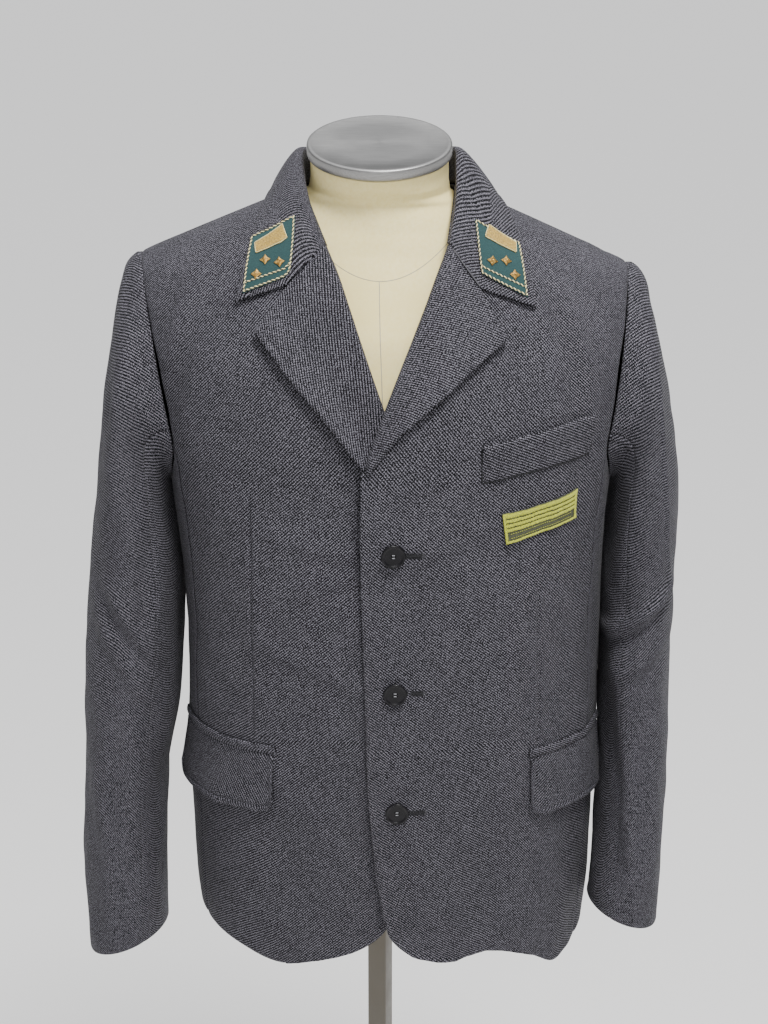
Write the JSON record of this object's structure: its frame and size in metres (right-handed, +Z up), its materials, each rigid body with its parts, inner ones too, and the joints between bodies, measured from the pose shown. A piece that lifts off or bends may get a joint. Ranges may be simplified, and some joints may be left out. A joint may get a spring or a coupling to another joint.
{
  "type": "uniform jacket on a limbless dress form",
  "caption": "Single-breasted uniform jacket with notch lapels, flap pockets and collar patches, worn by a limbless dress form on a pole stand.",
  "frame": {"origin": "on the floor, on the underside of the stand's base, under the pole", "axes": "+Z up; the jacket's front faces -Y; +X is the wearer's left"},
  "size_m": [0.5719, 0.39, 1.4897],
  "materials": {
    "uniform_twill": "matt marled twill",
    "form_linen": "plain linen",
    "patch_teal": "wool felt",
    "gold_thread": "satin stitch",
    "pip_brass": "pressed",
    "badge_yellow": "woven",
    "button_black": "glossy",
    "satin_metal": "satin",
    "painted_stand": "satin"
  },
  "bodies": {
    "root": {"front_left": "uniform_twill", "front_right": "uniform_twill", "side_left": "uniform_twill", "side_right": "uniform_twill", "back_left": "uniform_twill", "back_right": "uniform_twill", "sleeve_top_left": "uniform_twill", "sleeve_top_right": "uniform_twill", "sleeve_under_left": "uniform_twill", "sleeve_under_right": "uniform_twill", "lapel_left": "uniform_twill", "lapel_right": "uniform_twill", "pocket_jet_left": "uniform_twill", "pocket_jet_right": "uniform_twill", "pocket_flap_left": "uniform_twill", "pocket_flap_right": "uniform_twill", "collar": "uniform_twill", "chest_welt": "uniform_twill", "collar_patch_left": "patch_teal", "collar_patch_right": "patch_teal", "patch_bar_left": "gold_thread", "patch_bar_right": "gold_thread", "pip_left_1": "pip_brass", "pip_left_2": "pip_brass", "pip_left_3": "pip_brass", "pip_right_1": "pip_brass", "pip_right_2": "pip_brass", "pip_right_3": "pip_brass", "breast_badge": "badge_yellow", "button_1": "button_black", "button_2": "button_black", "button_3": "button_black", "form_torso": "form_linen", "form_neck_cap": "satin_metal", "stand_pole": "painted_stand", "stand_base": "painted_stand"}
  },
  "joints": []
}
